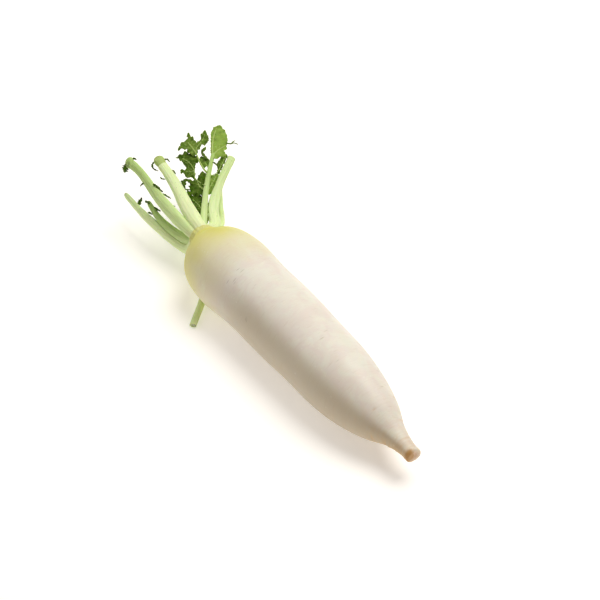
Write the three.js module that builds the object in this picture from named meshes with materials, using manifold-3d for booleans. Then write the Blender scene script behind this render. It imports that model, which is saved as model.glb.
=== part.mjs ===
// Daikon radish, pulled and trimmed, lying on its side. Millimetres, +Z up.
//
// The root lies along X: its leafy crown points to -X and its cut tip to +X. The origin is on the
// surface that it rests on, in the middle of the narrow flat where its belly touches. Eight
// leafstalks fan out of the crown. Seven are cut short, and one still carries a leaf. Scraps of
// torn leaf blade hang on the cut stalks.

import * as THREE from 'three';
import { mergeVertices } from 'three/addons/utils/BufferGeometryUtils.js';
import Module from 'manifold-3d';

const wasm = await Module();
wasm.setup();

// Root
const BELLY_STATION = 132; // from the crown end of the root to the middle of the resting flat
const BELLY_HEIGHT = 34.7; // height of the centre line above the surface, over that flat
const LEAN = 0.0333; // the centre line drops this much for each millimetre towards the tip
const CROWN_SWAY = -5.8; // sideways bend of the crown end
const CROWN_SWAY_END = 141; // station where that bend has died out
const TIP_SWAY = 1.2; // sideways bend of the tip
const TIP_DROOP = -4; // downward bend of the tip
const TIP_BEND_START = 219; // station where the tip starts to bend
const COLLAR_SHIFT = [5, 2.8]; // the leaf-scar collar sits this far off the bend, in Y and Z
const COLLAR_SHIFT_END = 15; // station where the collar has run out into the shoulder
const ROOT_LENGTH = 313;
const ROOT_SIDES = 44;
const ROOT_STEPS = 46;
const FLOOR_BLOCK = 800; // edge of the block of space above the surface

// Station from the crown end, and radius there. Stations below zero are the leaf-scar collar and
// the low cap that the leafstalks grow from; the last two are the knife cut across the tip.
const ROOT_OUTLINE = [
  [-10, 0],
  [-9.4, 6],
  [-7, 11],
  [-4, 12.6],
  [-1, 12.4],
  [3, 15.5],
  [10, 21.7],
  [25, 32.8],
  [50, 37.5],
  [88, 35.6],
  [132, 35.4],
  [176, 33.2],
  [213, 31.7],
  [244, 27],
  [269, 19.6],
  [288, 10.8],
  [304, 6.9],
  [312.4, 6.6],
  [ROOT_LENGTH, 5.8],
  [ROOT_LENGTH, 0],
];

// Leafstalks and blades
const GAP = 0.3; // clearance between neighbours that grow against each other
const STALK_SIDES = 12;
const STALK_STEPS = 14;
const STALK_FLATNESS = 0.74; // thickness of a stalk over its width
const CHANNEL_SIDE = 0.72; // the side that faces the crown's middle is this much flatter
const END_ROUNDING = 0.05; // share of the stalk's length over which a healed end closes
const END_WIDTH = 0.45; // what is left of the stalk's width at the very end of a healed one
const BLADE_THICKNESS = 0.8;
const SCRAP_FACE = new THREE.Vector3(0.63, -0.43, 0.64); // the way the narrow strips face
const SCRAP_EDGE = 0.5; // half width left at a strip's two ends
const SCRAP_STEPS = 5;

// Each stalk's centre line from the crown to its cut end, the direction that its rounded back
// faces at the crown, and its width at even steps along it.
const STALKS = [
  {
    name: 'leafstalk_5', // thin inner stalk that carries the leaf
    route: [[-137, 1.5, 44], [-152.5, 11.5, 51], [-182, 33, 60], [-214, 60, 67]],
    back: [0, 0.2, 1],
    width: [5.5, 6.5, 5.5, 5, 4.2, 3.6],
    colour: 0xa9c26b,
  },
  {
    name: 'leafstalk_2', // short inner stalk between the first and the third
    route: [[-136.5, -4.5, 41], [-147, -8.5, 34.5], [-182, -16.5, 37.5], [-208.5, -16.5, 45]],
    back: [0, -1, 0],
    width: [8, 10, 9.5, 7.5, 5],
    colour: 0x8fae58,
    healed: true,
  },
  {
    name: 'leafstalk_4', // palest and stoutest, on top
    route: [[-136, -0.5, 49], [-161, 1, 55.5], [-198.5, 7.5, 63], [-236.5, 10.8, 69]],
    back: [0, -0.3, 1],
    width: [12, 14, 12.5, 11, 9.5, 9.5],
    colour: 0xd2e59c,
  },
  {
    name: 'leafstalk_3', // long, with a swollen end
    route: [[-137, -7.5, 45], [-159, -10, 49], [-198, -11, 55], [-234, -10, 62.5], [-256.5, -11, 62.5]],
    back: [0, -1, 0.6],
    width: [9.5, 12.5, 12, 10, 8.5, 9],
    colour: 0xa3c266,
    healed: true,
  },
  {
    name: 'leafstalk_6', // wide, leaning away to the far side
    route: [[-137, 7, 46.5], [-141, 16, 44.5], [-158.5, 25, 50], [-177, 44, 59], [-198, 71, 67]],
    back: [0, 1, 0.6],
    width: [10.5, 12, 10.5, 8, 7.5, 7.5],
    colour: 0xc2da8c,
  },
  {
    name: 'leafstalk_1', // lowest on the near side
    route: [[-137, -9, 37], [-146.5, -10.5, 25.5], [-200, -21.5, 32], [-244.5, -22, 34.5]],
    back: [0, -1, -0.4],
    width: [10, 12, 12, 10.5, 8.5, 7],
    colour: 0x9dbb68,
    healed: true,
  },
  {
    name: 'leafstalk_7', // behind the sixth
    route: [[-137, 7.5, 39], [-149.5, 26, 36.5], [-172, 39.5, 38.5], [-200.5, 57.5, 43]],
    back: [0, 1, -0.5],
    width: [9.5, 11, 10, 8, 6],
    colour: 0xafcb7a,
  },
  {
    name: 'leafstalk_8', // bent back under the crown, lying on the surface beside the root
    route: [
      [-137, -1.5, 33],
      [-143, -1, 20],
      [-134, 0, 9],
      [-118, -8, 3.2],
      [-101, -23, 2.6],
      [-74, -50, 2.6],
    ],
    back: [0, 0, -1],
    width: [9, 8, 7, 7, 6.6, 6.6],
    colour: 0x9fb765,
  },
];

// The leaf lies in a plane of its own. The origin is where the leafstalk ends and the end lobe
// starts, the first axis runs across the leaf to its right, the second away from the crown, and
// the third out of its upper side.
const LEAF_ORIGIN = new THREE.Vector3(-214, 60, 67);
const LEAF_OUTWARD = new THREE.Vector3(-0.775, 0.589, 0.231).normalize();
const LEAF_UPPER = new THREE.Vector3(0.214, -0.098, 0.972);

// Blades of the leaf: the outline in that plane, and how high the blade lies over it.
const BLADES = [
  {
    name: 'leaf_end_lobe',
    outline: [[-1, -1.5], [-2.5, 2], [-3.5, 14], [-4.5, 24], [-4.5, 30.5], [-3, 35], [0, 39],
      [3.5, 39], [8, 34], [11, 27], [12.5, 18], [11.5, 13.5], [12.5, 9.5], [10, 5], [11.5, 2.5],
      [13.5, 0], [12, -2.5], [8, -4], [3.5, -6.5], [1.5, -7.5], [-0.5, -3.5]],
    lift: 0,
  },
  {
    name: 'leaflet_left_1',
    outline: [[-16, -4], [-15, 1], [-13.5, 5.5], [-11.5, 10], [-8.5, 13], [-6, 15.5], [-6, 19.5],
      [-7, 24.5], [-9, 28], [-11.5, 29.5], [-13.5, 27], [-14.5, 23.5], [-13, 19], [-14.5, 16],
      [-16.5, 17], [-17.5, 14], [-19, 16.5], [-21, 19.5], [-23.5, 22.5], [-25.5, 25],
      [-27.5, 23.5], [-27.5, 20], [-26, 17.5], [-28.5, 16.5], [-31, 13], [-33, 9.5], [-33, 6],
      [-34.5, 2.5], [-31.5, 2], [-28, 3.5], [-26, 4.5], [-25, 0], [-22.5, -3.5], [-18.5, -5]],
    lift: 1,
  },
  {
    name: 'leaflet_left_2',
    outline: [[-15, -4], [-19, -1.5], [-22.5, 0.5], [-26, 1.5], [-28.5, 0], [-31, -3], [-33, -5.5],
      [-35.5, -7.5], [-32.5, -9.5], [-30, -11.5], [-28, -15], [-25, -17.5], [-23, -20],
      [-25, -22], [-27, -23.5], [-29, -26.5], [-26.5, -28.5], [-24, -31], [-21, -32.5],
      [-18, -34], [-15, -33.5], [-14, -31], [-15, -24], [-15.5, -17.5], [-14, -12.5],
      [-13, -10], [-14, -7]],
    lift: -1,
  },
  {
    name: 'leaflet_left_3',
    outline: [[-14, -34.5], [-11.5, -33], [-11, -28.5], [-8.5, -27], [-6, -25], [-4.5, -28],
      [-4.5, -44], [-4.2, -55], [-12, -56.5], [-17, -56], [-20, -54], [-19, -50.5], [-17.5, -49],
      [-19.5, -45], [-18, -41.5], [-19.5, -39], [-17.5, -36]],
    lift: 1.5,
  },
  {
    name: 'leaflet_left_4',
    outline: [[-12, -54], [-4.3, -55], [-4, -61.5], [-4.5, -73.5], [-4.5, -82.5], [-6, -81],
      [-8, -78], [-10, -74], [-10, -70], [-12.5, -69], [-15, -65.5], [-14.5, -62.5],
      [-17.5, -62], [-18.5, -59], [-16, -56]],
    lift: 0,
  },
  {
    name: 'leaflet_left_5',
    outline: [[-12.5, -6], [-9.5, -1], [-6.5, -3], [-3, -7], [-3, -15.5], [-6, -17], [-9, -16],
      [-11.5, -12.5]],
    lift: -2.5,
  },
  {
    name: 'leaflet_right_1',
    outline: [[13, 0.7], [14, -1.8], [13, -5.8], [12, -10.3], [10.5, -16.3], [9, -22.8], [8.5, -24.8],
      [7, -24.8], [5.5, -22.8], [6.5, -19.3], [4.5, -15.8], [3, -12.8], [5, -11.3], [6, -8.3],
      [7, -4.8], [9, -2.8], [10.5, -0.8]],
    lift: -1.2,
  },
  {
    name: 'leaflet_right_3',
    outline: [[-2, -26.9], [1.5, -25.4], [5, -26.4], [8.5, -26.9], [9.5, -30.4], [8.5, -35.9],
      [8.5, -41.4], [7.5, -48.4], [5, -50.4], [2, -50.4], [-0.5, -50.4], [-2.5, -44.9],
      [-3, -35.9], [-3, -30.4]],
    lift: -2.2,
  },
];

// Narrow curled strips of the leaf: midrib in the leaf's plane and height over it, and half width.
const CURLS = [
  { name: 'leaflet_right_2', half: 0.8,
    route: [[-1, -17, 0.4], [-0.5, -14, 0.4], [1.5, -12.5, 0.4], [4, -14, 0.4], [5.5, -17, 0.4]] },
  { name: 'leaflet_left_curl', half: 1.2,
    route: [[-4.5, -8, 0], [-8.5, -3.5, 1], [-10.5, -1, 3], [-8.5, 1.5, 4], [-7.5, 5.5, 3.5]] },
  { name: 'leaflet_right_curl', half: 1.1,
    route: [[11.5, 16.5, 1.2], [16, 14, 2], [19, 15, 2.5], [23, 14.5, 2]] },
];

// Scraps of torn blade on the cut stalks: midrib and half width.
const SCRAPS = [
  { route: [[-221.5, -20, 34.5], [-223, -17.5, 37.5], [-223.5, -15, 40]], half: 2 },
  { route: [[-195.5, -17.5, 46.5], [-192.5, -15.5, 45], [-190, -13.5, 43.5]], half: 1.1 },
  { route: [[-207.5, -20, 48], [-205, -18.5, 46.5], [-203.5, -17, 46]], half: 1.2 },
  { route: [[-199, -22.5, 40.5], [-197.5, -21, 40], [-195.5, -19.5, 39]], half: 0.9 },
  { route: [[-252, -12, 60.5], [-252, -15.5, 58], [-250.5, -18.5, 55]], half: 3.2 },
  { route: [[-253, -7.5, 64.5], [-252.5, -5.5, 65], [-251, -3.5, 64]], half: 1 },
  { route: [[-207, -10.5, 64], [-202, -8, 61], [-197.5, -5.5, 58]], half: 1.3 },
  { route: [[-196.5, -7, 57.5], [-193, -4.5, 56], [-189.5, -2, 54]], half: 0.8 },
  { route: [[-184, -9, 53.5], [-181.5, -6.5, 52.5], [-179, -3.5, 52]], half: 0.7 },
  { route: [[-219.5, -14, 58], [-220.5, -15.5, 57.5], [-220, -17.5, 56]], half: 0.8 },
  { route: [[-235, 7.5, 67], [-234.5, 4, 63.5], [-231, 4.5, 61], [-228, 7, 59.5]], half: 0.9 },
  { route: [[-213, 0.5, 64], [-211.5, 1.5, 62.5], [-209.5, 4, 62]], half: 0.6 },
  { route: [[-229.5, 14.5, 69.5], [-227.5, 17, 69.5], [-224.5, 18.5, 67.5]], half: 0.8 },
  { route: [[-213, 13, 67], [-211, 14.5, 66], [-208.5, 15, 64]], half: 0.8 },
];

const MATERIALS = {
  skin: { color: 0xefe9d2, roughness: 0.45, metalness: 0 },
  blade: { color: 0x5f8a2c, roughness: 0.6, metalness: 0 },
  endLobe: { color: 0x93b85a, roughness: 0.6, metalness: 0 },
  scrap: { color: 0x4f6b2a, roughness: 0.7, metalness: 0 },
};

const vector = (point) => new THREE.Vector3(...point);

// Turns and moves the leaf's plane to its place.
const leafAcross = new THREE.Vector3().crossVectors(LEAF_OUTWARD, LEAF_UPPER).normalize();
const leafUpper = new THREE.Vector3().crossVectors(leafAcross, LEAF_OUTWARD);
const LEAF_PLACE = new THREE.Matrix4()
  .makeBasis(leafAcross, LEAF_OUTWARD, leafUpper)
  .setPosition(LEAF_ORIGIN);

// Moves every vertex of a geometry to the place that the function gives for it.
function reshape(geometry, place) {
  const positions = geometry.attributes.position;
  for (let i = 0; i < positions.count; i += 1) {
    const moved = place(positions.getX(i), positions.getY(i), positions.getZ(i));
    positions.setXYZ(i, moved.x, moved.y, moved.z);
  }
  return geometry;
}

// A closed geometry as a solid that can be joined and cut.
function toSolid(geometry) {
  geometry.deleteAttribute('normal');
  geometry.deleteAttribute('uv');
  const merged = mergeVertices(geometry);
  const corners = merged.index.array;
  const kept = [];
  for (let i = 0; i < corners.length; i += 3) {
    const [a, b, c] = [corners[i], corners[i + 1], corners[i + 2]];
    if (a !== b && b !== c && c !== a) kept.push(a, b, c);
  }
  return new wasm.Manifold(new wasm.Mesh({
    numProp: 3,
    vertProperties: new Float32Array(merged.attributes.position.array),
    triVerts: new Uint32Array(kept),
  }));
}

// A solid as a geometry that can be shown.
function toGeometry(solid) {
  const mesh = solid.getMesh();
  const geometry = new THREE.BufferGeometry();
  geometry.setAttribute('position', new THREE.BufferAttribute(mesh.vertProperties, 3));
  geometry.setIndex(new THREE.BufferAttribute(mesh.triVerts, 1));
  geometry.computeVertexNormals();
  return geometry;
}

// What is left of a solid once its neighbours are taken out of it: its largest piece.
function clearOf(solid, neighbours) {
  const left = neighbours.reduce((rest, neighbour) => rest.subtract(neighbour), solid);
  const pieces = left.decompose();
  return pieces.reduce((best, piece) => (piece.volume() > best.volume() ? piece : best));
}

// Centre line of the root at a distance from its crown end.
function centreLine(station) {
  const x = station - BELLY_STATION;
  const crown = Math.max(0, 1 - station / CROWN_SWAY_END) ** 2;
  const tip = (Math.max(0, station - TIP_BEND_START) / (ROOT_LENGTH - TIP_BEND_START)) ** 2;
  const collar = 1 - THREE.MathUtils.smoothstep(station, 0, COLLAR_SHIFT_END);
  const y = CROWN_SWAY * crown + TIP_SWAY * tip + COLLAR_SHIFT[0] * collar;
  const z = BELLY_HEIGHT - LEAN * x + TIP_DROOP * tip + COLLAR_SHIFT[1] * collar;
  return new THREE.Vector3(x, y, z);
}

// The root, grown outwards by a clearance, and cut flat where it meets the surface.
function makeRoot(growth = 0) {
  const outline = new THREE.CatmullRomCurve3(ROOT_OUTLINE.map(([s, r]) => new THREE.Vector3(r, s, 0)));
  const profile = [];
  for (let i = 0; i <= ROOT_STEPS; i += 1) {
    const point = outline.getPointAt(i / ROOT_STEPS);
    const along = outline.getTangentAt(i / ROOT_STEPS);
    const radius = Math.max(0, point.x + growth * along.y);
    const onAxis = i === 0 || i === ROOT_STEPS;
    profile.push(new THREE.Vector2(onAxis ? 0 : radius, point.y - growth * along.x));
  }
  const lathe = reshape(new THREE.LatheGeometry(profile, ROOT_SIDES), (x, station, z) => {
    const centre = centreLine(station);
    return new THREE.Vector3(centre.x, centre.y + x, centre.z - z);
  });
  const above = new THREE.BoxGeometry(FLOOR_BLOCK, FLOOR_BLOCK, FLOOR_BLOCK);
  above.translate(0, 0, FLOOR_BLOCK / 2);
  return toSolid(lathe).intersect(toSolid(above));
}

// A value that runs smoothly through evenly spaced ones.
function along(values, share) {
  const place = share * (values.length - 1);
  const first = Math.min(Math.floor(place), values.length - 2);
  return THREE.MathUtils.lerp(values[first], values[first + 1], place - first);
}

// Centre points and axes along a stalk. The back turns with the stalk and never twists round it.
function stalkFrames({ route, back }) {
  const curve = new THREE.CatmullRomCurve3(route.map(vector));
  const frames = [];
  let backward = vector(back);
  let before = curve.getTangentAt(0);
  for (let i = 0; i <= STALK_STEPS; i += 1) {
    const share = i / STALK_STEPS;
    const forward = curve.getTangentAt(share);
    backward.applyQuaternion(new THREE.Quaternion().setFromUnitVectors(before, forward));
    backward.addScaledVector(forward, -backward.dot(forward)).normalize();
    const across = new THREE.Vector3().crossVectors(forward, backward);
    frames.push({ centre: curve.getPointAt(share), across, back: backward.clone() });
    before = forward;
  }
  return frames;
}

// A leafstalk: oval, flatter towards the crown's middle, tapering to its cut or healed end.
function makeStalk(stalk, growth = 0) {
  const frames = stalkFrames(stalk);
  const column = new THREE.CylinderGeometry(1, 1, 1, STALK_SIDES, STALK_STEPS);
  return toSolid(reshape(column, (x, height, z) => {
    const share = height + 0.5;
    const frame = frames[Math.round(share * STALK_STEPS)];
    const left = Math.min(1, (1 - share) / END_ROUNDING);
    const closing = stalk.healed ? END_WIDTH + (1 - END_WIDTH) * Math.sqrt(left) : 1;
    const halfWidth = (along(stalk.width, share) / 2) * closing;
    const halfDepth = halfWidth * STALK_FLATNESS * (z < 0 ? CHANNEL_SIDE : 1);
    return frame.centre.clone()
      .addScaledVector(frame.across, x * (halfWidth + growth))
      .addScaledVector(frame.back, z * (halfDepth + growth));
  }));
}

// A thin flat blade with the outline given in the leaf's plane.
function makeBlade({ outline, lift }) {
  const edge = new THREE.CatmullRomCurve3(outline.map(([x, y]) => new THREE.Vector3(x, y, 0)), true);
  const shape = new THREE.Shape(edge.getPoints(2 * outline.length).slice(1));
  const slab = new THREE.ExtrudeGeometry(shape, { depth: BLADE_THICKNESS, bevelEnabled: false });
  slab.translate(0, 0, lift - BLADE_THICKNESS / 2);
  return toSolid(slab.applyMatrix4(LEAF_PLACE));
}

// A narrow strip of blade along its midrib, pointed at both ends.
function makeStrip({ route, half }) {
  const midrib = new THREE.CatmullRomCurve3(route.map(vector));
  return toSolid(reshape(new THREE.BoxGeometry(1, 1, 1, 2, SCRAP_STEPS, 1), (x, length, z) => {
    const share = length + 0.5;
    const forward = midrib.getTangentAt(share);
    const across = new THREE.Vector3().crossVectors(forward, SCRAP_FACE).normalize();
    const face = new THREE.Vector3().crossVectors(across, forward);
    const reach = SCRAP_EDGE + half * Math.sin(Math.PI * share);
    return midrib.getPointAt(share)
      .addScaledVector(across, 2 * x * reach)
      .addScaledVector(face, z * BLADE_THICKNESS);
  }));
}

function addMesh(group, name, solid, look) {
  const mesh = new THREE.Mesh(toGeometry(solid), new THREE.MeshStandardMaterial(look));
  mesh.name = name;
  group.add(mesh);
}

const daikon = new THREE.Group();
daikon.name = 'daikon_radish';
addMesh(daikon, 'root', makeRoot(), MATERIALS.skin);

const grown = [makeRoot(GAP)];
for (const stalk of STALKS) {
  const look = { color: stalk.colour, roughness: 0.5, metalness: 0 };
  addMesh(daikon, stalk.name, clearOf(makeStalk(stalk), grown), look);
  grown.push(makeStalk(stalk, GAP));
}
for (const blade of BLADES) {
  const look = blade.name === 'leaf_end_lobe' ? MATERIALS.endLobe : MATERIALS.blade;
  addMesh(daikon, blade.name, clearOf(makeBlade(blade), grown), look);
}
for (const curl of CURLS) {
  const route = curl.route.map((point) => vector(point).applyMatrix4(LEAF_PLACE).toArray());
  const solid = clearOf(makeStrip({ ...curl, route }), grown);
  addMesh(daikon, curl.name, solid, MATERIALS.blade);
}
SCRAPS.forEach((scrap, i) => {
  addMesh(daikon, `torn_leaflet_${i + 1}`, clearOf(makeStrip(scrap), grown), MATERIALS.scrap);
});

export default daikon;
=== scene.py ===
import math
from random import Random

import bpy
import numpy as np
from bpy.props import FloatProperty, FloatVectorProperty, IntProperty, PointerProperty
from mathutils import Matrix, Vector, noise
from mathutils.geometry import delaunay_2d_cdt


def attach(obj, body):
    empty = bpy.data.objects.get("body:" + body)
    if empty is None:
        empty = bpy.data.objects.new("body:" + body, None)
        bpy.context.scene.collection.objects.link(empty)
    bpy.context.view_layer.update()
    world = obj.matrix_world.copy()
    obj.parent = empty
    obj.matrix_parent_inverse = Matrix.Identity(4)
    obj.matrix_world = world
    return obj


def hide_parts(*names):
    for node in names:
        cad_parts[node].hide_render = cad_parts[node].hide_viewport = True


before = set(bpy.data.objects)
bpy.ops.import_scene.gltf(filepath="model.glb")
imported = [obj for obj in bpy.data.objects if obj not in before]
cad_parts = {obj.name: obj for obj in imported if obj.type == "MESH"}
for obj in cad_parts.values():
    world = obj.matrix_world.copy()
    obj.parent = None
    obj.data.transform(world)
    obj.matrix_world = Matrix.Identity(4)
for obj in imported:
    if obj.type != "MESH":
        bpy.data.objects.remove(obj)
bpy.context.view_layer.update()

bl_info = {
    "name": "Daikon radish",
    "version": (1, 0, 0),
    "blender": (4, 5, 0),
    "location": "View3D > Sidebar > Daikon",
    "description": "Builds a trimmed daikon radish lying on its side, piece by piece",
    "category": "Add Mesh",
}

MM = 0.001
BODY = "root"

# Root: station from the crown end and radius there, in millimetres. The first five are the cap and
# the leaf-scar collar, the last three the knife cut across the tip.
ROOT_OUTLINE = (
    (-10, 0), (-9.4, 6), (-7, 11), (-4, 12.6), (-1, 12.4), (3, 15.5), (10, 21.7), (25, 32.8),
    (50, 37.5), (88, 35.6), (132, 35.4), (176, 33.2), (213, 31.7), (244, 27), (269, 19.6),
    (288, 10.8), (304, 6.9), (312.4, 6.6), (313, 5.8), (313, 0),
)
ROOT_LENGTH = 313 * MM

# Centre line of the root: the station over the origin, its height there, how much it sinks towards
# the tip, and how the crown, the tip and the collar bend off it.
BELLY_STATION = 132 * MM
BELLY_HEIGHT = 34.7 * MM
LEAN = 0.0333
CROWN_SWAY, CROWN_SWAY_END = -5.8 * MM, 141 * MM
TIP_SWAY, TIP_DROOP, TIP_BEND_START = 1.2 * MM, -4 * MM, 219 * MM
COLLAR_SHIFT, COLLAR_SHIFT_END = (5 * MM, 2.8 * MM), 15 * MM

# Leafstalks: centre line from the crown to the free end, the way the rounded back faces at the
# crown, widths at even steps along it, how the free end looks, and how green it is.
STALKS = (
    {"route": ((-137, -9, 37), (-146.5, -10.5, 25.5), (-200, -21.5, 32), (-244.5, -22, 34.5)),
     "back": (0, -1, -0.4), "width": (10, 12, 12, 10.5, 8.5, 7), "end": "healed", "green": 0.22},
    {"route": ((-136.5, -4.5, 41), (-147, -8.5, 34.5), (-182, -16.5, 37.5), (-208.5, -16.5, 45)),
     "back": (0, -1, 0), "width": (8, 10, 9.5, 7.5, 5), "end": "healed", "green": 0.86},
    {"route": ((-137, -7.5, 45), (-159, -10, 49), (-198, -11, 55), (-234, -10, 62.5),
               (-256.5, -11, 62.5)),
     "back": (0, -1, 0.6), "width": (9.5, 12.5, 12, 10, 8.5, 9), "end": "knob", "green": 0.7},
    {"route": ((-136, -0.5, 49), (-161, 1, 55.5), (-198.5, 7.5, 63), (-236.5, 10.8, 69)),
     "back": (0, -0.3, 1), "width": (12, 14, 12.5, 11, 9.5, 9.5), "end": "stub", "green": 0.0},
    {"route": ((-137, 1.5, 44), (-152.5, 11.5, 51), (-182, 33, 60), (-214, 60, 67)),
     "back": (0, 0.2, 1), "width": (5.5, 6.5, 5.5, 5, 4.2, 3.6), "end": "carries", "green": 0.72},
    {"route": ((-137, 7, 46.5), (-141, 16, 44.5), (-158.5, 25, 50), (-177, 44, 59), (-198, 71, 67)),
     "back": (0, 1, 0.6), "width": (10.5, 12, 10.5, 8, 7.5, 7.5), "end": "cut", "green": 0.33},
    {"route": ((-137, 7.5, 39), (-149.5, 26, 36.5), (-172, 39.5, 38.5), (-200.5, 57.5, 43)),
     "back": (0, 1, -0.5), "width": (9.5, 11, 10, 8, 6), "end": "cut", "green": 0.35},
    {"route": ((-137, -1.5, 33), (-143, -1, 20), (-134, 0, 9), (-118, -8, 3.2),
               (-101, -23, 2.6), (-74, -50, 2.6)),
     "back": (0, 0, -1), "width": (9, 8, 7, 7, 6.6, 6.6), "end": "cut", "green": 0.05},
)

# The leaf's own plane: its origin is where the leafstalk ends and the end lobe starts, the first
# axis runs across the leaf to its right, the second away from the crown, the third out of its top.
LEAF_ORIGIN = np.array((-214, 60, 67)) * MM
LEAF_OUTWARD = (-0.775, 0.589, 0.231)
LEAF_UPPER = (0.214, -0.098, 0.972)
STALK_BOW = 2.7 * MM
STALK_BOW_MIDDLE = -50 * MM

# Blades of the leaf, in millimetres in that plane: the outline, the height of the blade over the
# plane, the veins with their half widths at both ends, the ruffle, and how light the green is.
BLADES = {
    "leaf_end_lobe": {
        "outline": ((-1, -1.5), (-2.5, 2), (-3.5, 14), (-4.5, 24), (-4.5, 30.5), (-3, 35), (0, 39),
                    (3.5, 39), (8, 34), (11, 27), (12.5, 18), (11.5, 13.5), (12.5, 9.5), (10, 5),
                    (11.5, 2.5), (13.5, 0), (12, -2.5), (8, -4), (3.5, -6.5), (1.5, -7.5),
                    (-0.5, -3.5)),
        "lift": 0, "ruffle": 0.9, "light": 0.85,
        "ribs": ((((0, -4), (-1.5, 8), (-1.8, 22), (0, 35)), 1.2, 0.3),
                 (((-0.2, -3.5), (2.5, 3), (6.5, 8.5), (11, 13)), 1.0, 0.35)),
    },
    "leaflet_left_1": {
        "outline": ((-16, -4), (-15, 1), (-13.5, 5.5), (-11.5, 10), (-8.5, 13), (-6, 15.5),
                    (-6, 19.5), (-7, 24.5), (-9, 28), (-11.5, 29.5), (-13.5, 27), (-14.5, 23.5),
                    (-13, 19), (-14.5, 16), (-16.5, 17), (-17.5, 14), (-19, 16.5), (-21, 19.5),
                    (-23.5, 22.5), (-25.5, 25), (-27.5, 23.5), (-27.5, 20), (-26, 17.5),
                    (-28.5, 16.5), (-31, 13), (-33, 9.5), (-33, 6), (-34.5, 2.5), (-31.5, 2),
                    (-28, 3.5), (-26, 4.5), (-25, 0), (-22.5, -3.5), (-18.5, -5)),
        "lift": 1, "ruffle": 1.6, "light": 0.34,
        "ribs": ((((-3.5, -27), (-7, -22.5), (-12, -12.5), (-16, -2.5), (-20.5, 5.5), (-25.5, 13)),
                  1.0, 0.45),
                 (((-16.5, -1.5), (-16, 8), (-12, 16.5), (-10.5, 25)), 0.3, 0.15)),
    },
    "leaflet_left_2": {
        "outline": ((-15, -4), (-19, -1.5), (-22.5, 0.5), (-26, 1.5), (-28.5, 0), (-31, -3),
                    (-33, -5.5), (-35.5, -7.5), (-32.5, -9.5), (-30, -11.5), (-28, -15),
                    (-25, -17.5), (-23, -20), (-25, -22), (-27, -23.5), (-29, -26.5),
                    (-26.5, -28.5), (-24, -31), (-21, -32.5), (-18, -34), (-15, -33.5),
                    (-14, -31), (-15, -24), (-15.5, -17.5), (-14, -12.5), (-13, -10), (-14, -7)),
        "lift": -1, "ruffle": 1.8, "light": 0.10,
        "ribs": ((((-4.5, -42), (-10, -38), (-14.5, -33), (-16.5, -22), (-21.5, -13.5), (-29, -8)),
                  0.55, 0.2),
                 (((-16, -24), (-21, -26), (-26, -26.5)), 0.3, 0.15)),
    },
    "leaflet_left_3": {
        "outline": ((-14, -34.5), (-11.5, -33), (-11, -28.5), (-8.5, -27), (-6, -25), (-4.5, -28),
                    (-3.5, -44), (-3.2, -55), (-12, -56.5), (-17, -56), (-20, -54), (-19, -50.5),
                    (-17.5, -49), (-19.5, -45), (-18, -41.5), (-19.5, -39), (-17.5, -36)),
        "lift": -0.8, "ruffle": 2.6, "light": 0.06,
        "ribs": ((((-3, -49), (-8, -45), (-12, -37)), 0.4, 0.15),),
    },
    "leaflet_left_4": {
        "outline": ((-12, -54), (-4, -55), (-3.4, -61.5), (-3.6, -73.5), (-4.5, -82.5), (-6, -81),
                    (-8, -78), (-10, -74), (-10, -70), (-12.5, -69), (-15, -65.5), (-14.5, -62.5),
                    (-17.5, -62), (-18.5, -59), (-16, -56)),
        "lift": -0.8, "ruffle": 2.4, "light": 0.04,
        "ribs": ((((-3, -74), (-8, -66), (-14, -60)), 0.4, 0.15),),
    },
    "leaflet_left_5": {
        "outline": ((-12.5, -6), (-9.5, -1), (-6.5, -3), (-3, -7), (-3, -15.5), (-6, -17),
                    (-9, -16), (-11.5, -12.5)),
        "lift": -2.5, "ruffle": 1.6, "light": 0.38,
        "ribs": ((((-2, -20), (-6, -12), (-9, -4)), 0.4, 0.15),),
    },
    "leaflet_right_1": {
        "outline": ((13, 0.7), (14, -1.8), (13, -5.8), (12, -10.3), (10.5, -16.3), (9, -22.8),
                    (8.5, -24.8), (7, -24.8), (5.5, -22.8), (6.5, -19.3), (4.5, -15.8),
                    (3, -12.8), (5, -11.3), (6, -8.3), (7, -4.8), (9, -2.8), (10.5, -0.8)),
        "lift": -1.2, "ruffle": 1.4, "light": 0.12,
        "ribs": ((((0, -29.8), (6, -23.8), (8.5, -15.8), (11, -6.8), (12.5, -1.8)), 0.45, 0.15),),
    },
    "leaflet_right_3": {
        "outline": ((-2, -26.9), (1.5, -25.4), (5, -26.4), (8.5, -26.9), (9.5, -30.4), (8.5, -35.9),
                    (8.5, -41.4), (7.5, -48.4), (5, -50.4), (2, -50.4), (-0.5, -50.4),
                    (-2.5, -44.9), (-3, -35.9), (-3, -30.4)),
        "lift": -2.2, "ruffle": 2.1, "light": 0.60,
        "ribs": ((((-1, -47.9), (2, -39.9), (5, -28.9)), 0.5, 0.2),),
    },
}

# Narrow curled strips of the leaf: midrib in the leaf's plane and height over it, and half width.
CURLS = {
    "leaflet_right_2": (((-1, -17, 0.4), (-0.5, -14, 0.4), (1.5, -12.5, 0.4), (4, -14, 0.4),
                         (6, -18, 0)), 0.8),
    "leaflet_left_curl": (((-4, -8.5, 0), (-8.5, -3.5, 1), (-10.5, -1, 3), (-8.5, 1.5, 4),
                           (-7.5, 5.5, 3.5)), 1.9),
    "leaflet_right_curl": (((11.5, 16.5, 0.2), (16, 14, 2), (19, 15, 2.5), (23, 14.5, 2)), 0.9),
}
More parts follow.
